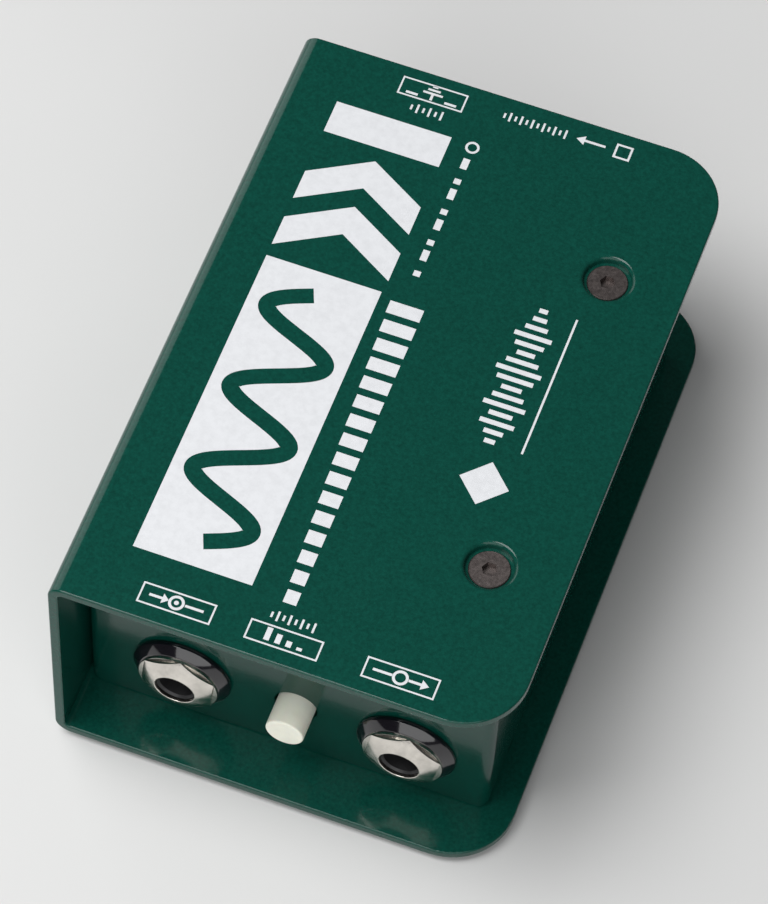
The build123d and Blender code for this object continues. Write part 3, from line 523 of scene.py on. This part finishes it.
def soften(builder, least, most, width, segments=2):
    """Bevel the edges whose faces meet at an angle between the two limits."""
    edges = [edge for edge in builder.edges if edge.is_manifold and least < edge.calc_face_angle(0.0) < most]
    bmesh.ops.bevel(
        builder,
        geom=edges,
        offset=width,
        offset_type="OFFSET",
        segments=segments,
        profile=0.5,
        affect="EDGES",
        clamp_overlap=True,
        material=-1,
    )


# ---------------------------------------------------------------------------------------------------------
# Operators
# ---------------------------------------------------------------------------------------------------------


class DIBOX_OT_paint(Operator):
    """Powder-coat the cover and the chassis."""

    bl_idname = "dibox.paint"
    bl_label = "Cover and Chassis Paint"

    def execute(self, context):
        finish = context.scene.dibox_finish
        dress(["outer_cover"], powder_coat("cover_powder_coat", finish.cover_green))
        dress(["chassis"], powder_coat("chassis_powder_coat", finish.chassis_green))
        polished("outer_cover")
        polished("chassis")
        return {"FINISHED"}


class DIBOX_OT_pad(Operator):
    """Give the non-slip pad its rubber grain."""

    bl_idname = "dibox.pad"
    bl_label = "Non-slip Pad"

    def execute(self, context):
        dress(["non_slip_pad"], rubber("neoprene"))
        return {"FINISHED"}


class DIBOX_OT_fasteners(Operator):
    """Finish the cover's screws and clinch nuts."""

    bl_idname = "dibox.fasteners"
    bl_label = "Screws and Clinch Nuts"

    def execute(self, context):
        dress(["cover_screws_top", "cover_screws_bottom", "xlr_screws"], black_oxide("blackened_steel"))
        dress(["clinch_nuts", "xlr_nuts"], plated("zinc_plate", (0.62, 0.63, 0.65), 0.3))
        for screws in ("cover_screws_top", "cover_screws_bottom", "xlr_screws"):
            polished(screws)
        return {"FINISHED"}


class DIBOX_OT_jacks(Operator):
    """Finish both jacks: bezels, nuts, washers, bushes, housings and contacts."""

    bl_idname = "dibox.jacks"
    bl_label = "Jacks"

    def execute(self, context):
        nickel = plated("bright_nickel", context.scene.dibox_finish.nickel_tone)
        bezel = moulded("bezel_gloss_black", (0.006, 0.005, 0.008), 0.12, 900.0, 0.004 * MM, Coat_Weight=0.6)
        housing = moulded("housing_black", (0.014, 0.014, 0.015), 0.45, 1500.0, 0.02 * MM)
        contact = plated("contact_brass", (0.72, 0.52, 0.22), 0.24)
        sizes = context.scene.dibox_jacks
        for jack, turn in (("input", sizes.input_turn), ("thru", sizes.thru_turn)):
            dress([f"{jack}_jack_nut", f"{jack}_jack_washer"], nickel)
            dress([f"{jack}_jack_bezel"], bezel)
            dress([f"{jack}_jack_housing", f"{jack}_jack_bush"], housing)
            for part in ("sleeve_terminal", "tip_terminal", "tip_leaf"):
                dress([f"{jack}_jack_{part}"], contact)
            self.bezel(jack, sizes, bezel)
            self.nut(jack, sizes, turn, nickel)
            polished(f"{jack}_jack_bush")
        return {"FINISHED"}

    def seat(self, node):
        """The point where a turned part's axis meets its rear face, with its length and largest radius."""
        low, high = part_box(node)
        centre = Vector(((low.x + high.x) / 2, high.y, (low.z + high.z) / 2))
        return centre, (high.y - low.y) / MM, (high.x - low.x) / 2 / MM

    def bezel(self, jack, sizes, material):
        """The black ring behind the nut, with a rolled front edge."""
        centre, depth, radius = self.seat(f"{jack}_jack_bezel")
        bore, edge = sizes.bezel_bore / MM, sizes.bezel_edge / MM
        front, roll = sizes.bezel_front / MM, sizes.bezel_roll / MM
        profile = [
            (bore, 0.0),
            (radius - roll, 0.0),
            (radius, roll),
            (radius, edge),
            (front, depth),
            (bore + roll, depth),
            (bore, depth - roll),
        ]
        builder = turned(profile, centre)
        soften(builder, math.radians(30.0), math.radians(80.0), roll * 0.8 * MM, segments=3)
        piece = finish_piece(f"{jack}_bezel_ring", builder, material, math.radians(40.0))
        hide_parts(f"{jack}_jack_bezel")

    def nut(self, jack, sizes, turn, material):
        """The hexagon nut: a turned cone cut by six flats, its edges broken."""
        centre, depth, _ = self.seat(f"{jack}_jack_nut")
        flats, lip = sizes.nut_flats / MM, sizes.nut_lip / MM
        rim, mouth, bore = sizes.nut_rim / MM, sizes.nut_mouth / MM, sizes.nut_bore / MM
        corner = flats * 0.6  # a little past the hexagon's own corners, so the flats cut it
        foot, foot_rise = flats / 2 * 0.985, 0.18
        rim_land, mouth_break, mouth_drop, mouth_depth = 0.08, 0.02, 0.05, 0.12
        profile = [
            (bore, 0.0),
            (foot, 0.0),
            (corner, foot_rise),
            (corner, depth - sizes.nut_slope * (corner - rim)),
            (rim, depth),
            (rim - rim_land, depth),
            (mouth + mouth_break, depth - mouth_drop),
            (mouth, depth - mouth_depth),
            (mouth, depth - lip),
            (bore, depth - lip),
        ]
        builder = turned(profile, centre, steps=144)
        for side in range(6):
            heading = turn + math.radians(30.0 + 60.0 * side)
            outward = Vector((math.cos(heading), 0.0, math.sin(heading)))
            cut = bmesh.ops.bisect_plane(
                builder,
                geom=[*builder.verts, *builder.edges, *builder.faces],
                plane_co=centre + outward * flats / 2 * MM,
                plane_no=outward,
                clear_outer=True,
                dist=WELD,
            )
            rim_edges = [item for item in cut["geom_cut"] if isinstance(item, bmesh.types.BMEdge)]
            bmesh.ops.edgeloop_fill(builder, edges=rim_edges)
        bmesh.ops.recalc_face_normals(builder, faces=builder.faces)
        soften(builder, math.radians(35.0), math.radians(75.0), 0.09 * MM)
        piece = finish_piece(f"{jack}_hexagon_nut", builder, material, math.radians(30.0))
        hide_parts(f"{jack}_jack_nut")


class DIBOX_OT_switches(Operator):
    """Finish both push switches and their caps."""

    bl_idname = "dibox.switches"
    bl_label = "Push Switches"

    def execute(self, context):
        shade_of_ivory = context.scene.dibox_finish.button_ivory
        ivory = moulded("ivory_cap", shade_of_ivory, 0.38, 1100.0, 0.006 * MM, Subsurface_Weight=0.12)
        white = moulded("white_acetal", (0.78, 0.78, 0.75), 0.4, 900.0, 0.01 * MM)
        housing = moulded("switch_black", (0.013, 0.013, 0.014), 0.4, 1300.0, 0.015 * MM)
        wafer = moulded("phenolic_wafer", (0.3, 0.15, 0.05), 0.55, 800.0, 0.02 * MM)
        wire = sheet_metal("spring_wire", (0.55, 0.55, 0.57), 0.28)
        contact = plated("switch_silver", (0.85, 0.84, 0.8), 0.22)
        for switch in ("pad", "lift"):
            dress([f"{switch}_button"], ivory)
            dress([f"{switch}_switch_plunger"], white)
            dress([f"{switch}_switch_housing"], housing)
            dress([f"{switch}_switch_base"], wafer)
            dress([f"{switch}_switch_spring"], wire)
            dress([f"{switch}_switch_slider", f"{switch}_switch_pins"], contact)
            polished(f"{switch}_button")
            self.spring(f"{switch}_switch_spring", f"{switch}_press")
        return {"FINISHED"}

    def spring(self, node, joint):
        """The return spring: a smooth-shaded copy of its CAD node with a mesh of its own."""
        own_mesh(polished(node))


class DIBOX_OT_output(Operator):
    """Finish the three-pin output connector."""

    bl_idname = "dibox.output"
    bl_label = "Output Connector"

    def execute(self, context):
        dress(["xlr_housing"], moulded("connector_black", (0.013, 0.013, 0.014), 0.34, 1400.0, 0.02 * MM))
        dress(["xlr_insert"], moulded("insert_black", (0.02, 0.02, 0.021), 0.5, 1200.0, 0.02 * MM))
        dress(["xlr_pins"], plated("pin_silver", (0.86, 0.84, 0.8), 0.14))
        for part in ("xlr_housing", "xlr_insert", "xlr_pins"):
            polished(part)
        return {"FINISHED"}


class DIBOX_OT_board(Operator):
    """Finish the circuit board and the small parts on it."""

    bl_idname = "dibox.board"
    bl_label = "Circuit Board"

    def execute(self, context):
        low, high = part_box("resistor_bodies")
        dress(["circuit_board"], solder_mask("solder_mask"))
        dress(["resistor_bodies"], banded_resistor("resistor_lacquer", (low.x + high.x) / 2))
        dress(["resistor_leads"], sheet_metal("tinned_wire", (0.7, 0.7, 0.72), 0.3))
        dress(["capacitors"], moulded("dipped_film", (0.36, 0.03, 0.012), 0.28, 500.0, 0.05 * MM))
        return {"FINISHED"}


class DIBOX_OT_transformer(Operator):
    """Finish the transformer's can, core, bobbin and windings."""

    bl_idname = "dibox.transformer"
    bl_label = "Transformer"

    def execute(self, context):
        can = sheet_metal("nickel_iron_can", (0.48, 0.47, 0.45), 0.4, streak=(1.0, 8.0, 1.0))
        dress(["transformer_can"], can)
        steel = (0.05, 0.05, 0.055), (0.3, 0.3, 0.32)
        core = layered("laminations", *steel, 0.35 * MM, "Y", 0.4, 0.9, 0.02 * MM)
        dress(["core_e_stack", "core_i_stack"], core)
        dress(["bobbin"], moulded("bobbin_nylon", (0.62, 0.55, 0.38), 0.5, 900.0, 0.02 * MM))
        # the dark copper colour is painted shade in the grooves between turns; the light one is the wire's
        # own colour
        copper = (0.18, 0.045, 0.014), (0.62, 0.2, 0.07)
        dress(["primary_winding"], layered("fine_copper_wire", *copper, 0.16 * MM, "Z", 0.3, 0.9, 0.03 * MM))
        dress(["secondary_winding"], layered("copper_wire", *copper, 0.28 * MM, "Z", 0.28, 0.9, 0.05 * MM))
        dress(["transformer_pins"], sheet_metal("tinned_pins", (0.7, 0.7, 0.72), 0.3))
        return {"FINISHED"}


class DIBOX_OT_printing(Operator):
    """Print the marks on the cover: framed symbols, tick scales and the long decoration.

    Places are in millimetres from the middle of the cover's top.
    """

    bl_idname = "dibox.printing"
    bl_label = "Printed Marks"

    def execute(self, context):
        printing = context.scene.dibox_printing
        self.ink = screen_ink("white_ink", context.scene.dibox_finish.ink_white)
        self.thickness = printing.ink_thickness
        self.line = printing.frame_line / MM
        self.symbol = printing.symbol_line / MM
        self.label_frames()
        self.front_symbols()
        self.rear_symbols()
        self.wave_block()
        self.signal_arrow()
        self.level_bars()
        self.side_emblem()
        return {"FINISHED"}

    def stamp(self, stencil, name):
        """Print one stencil."""
        stencil.print(name, self.ink, self.thickness)

    def label_frames(self):
        """The four small frames beside the sockets and buttons."""
        frames = Stencil()
        input_frame = (-26.7, -60.5, -13.2, -56.3)
        pad_frame = (-6.9, -60.6, 6.5, -56.5)
        thru_frame = (14.4, -60.5, 27.7, -56.3)
        lift_frame = (-21.7, 57.0, -9.0, 61.1)
        for corners in (input_frame, pad_frame, thru_frame, lift_frame):
            frames.frame(*corners, self.line)
        self.stamp(frames, "printed_label_frames")

    def front_symbols(self):
        """Symbols in the front frames: a signal in, a level cut and a signal through."""
        marks = Stencil()
        row, socket, plug = -58.4, 1.2, 0.42
        input_socket, thru_socket = -20.0, 21.0
        marks.ring(input_socket, row, socket, self.symbol)
        marks.disc(input_socket, row, plug)
        marks.stroke(-25.0, -22.6, row, self.symbol)
        marks.head(-22.6, row, 1.2)
        marks.stroke(-18.4, -15.0, row, self.symbol)
        first, pitch, width, foot = -3.6, 2.0, 1.0, row - 1.3
        for step, reach in enumerate((2.6, 1.9, 1.2, 0.6)):
            left = first + pitch * step
            marks.bar(left, foot, left + width, foot + reach)
        marks.ring(thru_socket, row, socket, self.symbol)
        marks.stroke(16.0, 19.5, row, self.symbol)
        marks.stroke(22.5, 24.8, row, self.symbol)
        marks.head(24.8, row, 1.4)
        self.stamp(marks, "printed_front_symbols")
        self.stamp(self.small_marks((-4.4, 4.4), -54.6), "printed_level_scale")

    def rear_symbols(self):
        """Marks read from the output end: an earth sign and a signal that leaves its box."""
        earth = Stencil(turn=math.pi, at=(-15.3, 59.05))
        stem_foot, stem_top, plate, lead = 0.2, 1.5, 0.45, 1.15
        earth.bar(-self.symbol / 2, stem_foot, self.symbol / 2, stem_top)
        for level, half in ((stem_foot, 1.9), (-0.6, 1.2), (-1.4, 0.5)):
            earth.bar(-half, level - plate, half, level)
        earth.stroke(-4.9, -2.6, lead, self.symbol)
        earth.stroke(2.6, 4.9, lead, self.symbol)
        self.stamp(earth, "printed_lift_symbol")
        output = Stencil(turn=math.pi, at=(21.6, 59.3))
        half_box, box_line = 1.6, 0.4
        output.frame(-half_box, -half_box, half_box, half_box, box_line)
        output.stroke(3.4, 7.4, 0.0, self.symbol)
        output.head(7.4, 0.0, 1.6)
        self.stamp(output, "printed_output_symbol")
        self.stamp(self.small_marks((-18.6, -11.6), 54.9), "printed_lift_scale")
        self.stamp(self.small_marks((-1.9, 11.0), 59.3), "printed_load_scale")

    def small_marks(self, span, y):
        """A short scale of ticks, every other one taller."""
        marks = Stencil()
        pitch, half, tall, short = 1.1, 0.2, 1.0, 0.55
        count = round((span[1] - span[0]) / pitch)
        for index in range(count):
            x = span[0] + (index + 0.5) * (span[1] - span[0]) / count
            reach = tall if index % 2 else short
            marks.bar(x - half, y - reach, x + half, y + reach)
        return marks

    def wave_block(self):
        """A long filled block with a sine wave left open in it."""
        left, right, front, rear = -31.2, -9.1, -50.5, 14.6
        margin, swing, waves, stroke, steps = 5.2, 7.2, 3.0, 3.2, 180
        start, reach = front + margin, rear - front - 2 * margin
        turn = math.tau * waves / reach
        block = Stencil()
        sides = ([], [])
        for step in range(steps + 1):
            y = reach * step / steps
            slope = swing * turn * math.cos(turn * y)
            across = Vector((1.0, -slope, 0.0)).normalized() * stroke / 2
            middle = Vector(((left + right) / 2 + swing * math.sin(turn * y), start + y, 0.0))
            sides[0].append(middle - across)
            sides[1].append(middle + across)
        corners = [(left, front), (right, front), (right, rear), (left, rear)]
        rim = [block.corner(*corner) for corner in corners]
        wave = [block.corner(point.x, point.y) for point in sides[0] + sides[1][::-1]]
        pairs = [pair for loop in (rim, wave) for pair in zip(loop[-1:] + loop[:-1], loop)]
        edges = [block.mesh.edges.new(pair) for pair in pairs]
        bmesh.ops.triangle_fill(block.mesh, use_beauty=True, edges=edges)
        self.stamp(block, "printed_wave_block")

    def signal_arrow(self):
        """Two bold chevrons that point at a bar: the signal leaves by the output end."""
        arrow = Stencil()
        left, right, line, lean = -31.2, -8.8, 6.4, 6.6
        bar_front, bar_rear = 44.0, 51.1
        middle = (left + right) / 2
        for base in (17.2, 28.0):
            tip = base + lean
            for side in (left, right):
                arrow.wedge([(side, base), (middle, tip), (middle, tip + line), (side, base + line)])
        arrow.bar(left, bar_front, right, bar_rear)
        self.stamp(arrow, "printed_signal_arrow")

    def level_bars(self):
        """A row of bars that grow like a level meter, with a thin scale beside it."""
        bars = Stencil()
        count, first, pitch, width = 16, -51.6, 4.16, 2.7
        foot, least, growth = -0.6, 2.2, 4.2
        for index in range(count):
            reach = least + growth * (index + 1) / count
            y = first + index * pitch
            bars.bar(foot - reach, y, foot, y + width)
        ticks, first, pitch, long, short = 8, 20.0, 3.6, 2.4, 1.2
        left, right = -5.2, -3.9
        for index in range(ticks):
            y = first + index * pitch
            bars.bar(left, y, right, y + (long if index % 2 else short))
        bars.ring(-4.5, 50.3, 1.1, 0.45)
        self.stamp(bars, "printed_level_bars")

    def side_emblem(self):
        """A plain diamond, with a sound wave drawn in bars and a thin rule beside it."""
        emblem = Stencil()
        x, y, half = 21.4, -16.6, 4.6
        emblem.wedge([(x - half, y), (x, y - half), (x + half, y), (x, y + half)])
        axis, first, pitch, width = 19.4, -8.6, 1.95, 0.95
        swells = (1.0, 1.8, 3.2, 2.2, 3.9, 2.9, 1.9, 3.4, 4.2, 3.0, 1.7, 2.7, 3.5, 2.1, 1.3, 0.8)
        for index, swell in enumerate(swells):
            base = first + index * pitch
            emblem.bar(axis - swell, base, axis + swell, base + width)
        rule_left, rule_right, rule_end = 25.4, 25.8, 21.6
        emblem.bar(rule_left, first, rule_right, rule_end)
        self.stamp(emblem, "printed_side_emblem")


class DIBOX_OT_stage(Operator):
    """Set the pale floor, the soft studio lights and the camera."""

    bl_idname = "dibox.stage"
    bl_label = "Studio Stage"

    def execute(self, context):
        stage = context.scene.dibox_stage
        self.floor(stage)
        self.camera(context, stage)
        box_middle, box_front = (0.0, 0.0, 0.03), (0.0, -0.05, 0.03)
        self.light("key_softbox", (-0.42, -0.22, 1.25), box_middle, 0.8, stage.key_power)
        self.light("side_softbox", (-1.2, 0.62, 0.56), box_middle, 1.1, stage.side_power)
        self.light("front_softbox", (0.2, -1.04, 0.72), box_front, 1.35, stage.front_power)
        pale_sky = (0.9, 0.94, 1.0, 1.0)
        world = bpy.data.worlds.new("studio_air")
        world.use_nodes = True
        air = world.node_tree.nodes["Background"]
        air.inputs["Color"].default_value = pale_sky
        air.inputs["Strength"].default_value = stage.air_light
        context.scene.world = world
        context.scene.view_settings.view_transform = "Standard"
        return {"FINISHED"}

    def floor(self, stage):
        """A plain pale floor."""
        paper = Finish("floor_paper", (0.72, 0.72, 0.71), 0.75)
        paper.mottle(paper.noise(6.0), "Fac", 0.3, 0.7, (0.6, 0.6, 0.595), (0.64, 0.64, 0.635))
        builder = bmesh.new()
        bmesh.ops.create_grid(builder, x_segments=1, y_segments=1, size=stage.floor_size / 2)
        floor = stand("studio_floor", builder, paper.material)

    def camera(self, context, stage):
        """The camera, turned from its azimuth, elevation and roll."""
        film_width = 36.0
        lens = bpy.data.cameras.new("camera")
        lens.lens = stage.lens
        lens.sensor_width = film_width
        lens.clip_start = 0.05
        lens.clip_end = 20.0
        camera = bpy.data.objects.new("camera", lens)
        turn = Matrix.Rotation(stage.azimuth, 4, "Z") @ Matrix.Rotation(math.pi / 2 - stage.elevation, 4, "X")
        place = Matrix.Translation((stage.camera_x, stage.camera_y, stage.camera_z))
        camera.matrix_world = place @ turn @ Matrix.Rotation(stage.roll, 4, "Z")
        context.scene.collection.objects.link(camera)
        context.scene.camera = camera

    def light(self, name, place, target, size, power):
        """A square softbox that faces the target."""
        lamp = bpy.data.lights.new(name, "AREA")
        lamp.energy = power
        lamp.size = size
        softbox = bpy.data.objects.new(name, lamp)
        softbox.location = place
        softbox.rotation_euler = (Vector(target) - Vector(place)).to_track_quat("-Z", "Y").to_euler()
        bpy.context.scene.collection.objects.link(softbox)


class DIBOX_PT_sidebar(Panel):
    """Lists the settings and the steps that dress the box."""

    bl_idname = "DIBOX_PT_sidebar"
    bl_label = "Direct Injection Box"
    bl_space_type = "VIEW_3D"
    bl_region_type = "UI"
    bl_category = SIDEBAR_TAB

    def draw(self, context):
        scene = context.scene
        for group in (scene.dibox_finish, scene.dibox_jacks, scene.dibox_printing, scene.dibox_stage):
            box = self.layout.box()
            for name in group.__annotations__:
                box.prop(group, name)
        for step in STEPS:
            self.layout.operator(step.bl_idname)


STEPS = (
    DIBOX_OT_paint,
    DIBOX_OT_pad,
    DIBOX_OT_fasteners,
    DIBOX_OT_jacks,
    DIBOX_OT_switches,
    DIBOX_OT_output,
    DIBOX_OT_board,
    DIBOX_OT_transformer,
    DIBOX_OT_printing,
    DIBOX_OT_stage,
)
GROUPS = (DIBOX_PG_finish, DIBOX_PG_jacks, DIBOX_PG_printing, DIBOX_PG_stage)


def register():
    """Register the classes and their settings."""
    for item in (*GROUPS, *STEPS, DIBOX_PT_sidebar):
        bpy.utils.register_class(item)
    bpy.types.Scene.dibox_finish = PointerProperty(type=DIBOX_PG_finish)
    bpy.types.Scene.dibox_jacks = PointerProperty(type=DIBOX_PG_jacks)
    bpy.types.Scene.dibox_printing = PointerProperty(type=DIBOX_PG_printing)
    bpy.types.Scene.dibox_stage = PointerProperty(type=DIBOX_PG_stage)


def unregister():
    """Take the classes and their settings away again."""
    del bpy.types.Scene.dibox_stage
    del bpy.types.Scene.dibox_printing
    del bpy.types.Scene.dibox_jacks
    del bpy.types.Scene.dibox_finish
    for item in reversed((*GROUPS, *STEPS, DIBOX_PT_sidebar)):
        bpy.utils.unregister_class(item)


def main():
    """Dress the box step by step."""
    register()
    for step in STEPS:
        group, name = step.bl_idname.split(".")
        getattr(getattr(bpy.ops, group), name)()


if __name__ == "__main__":
    main()
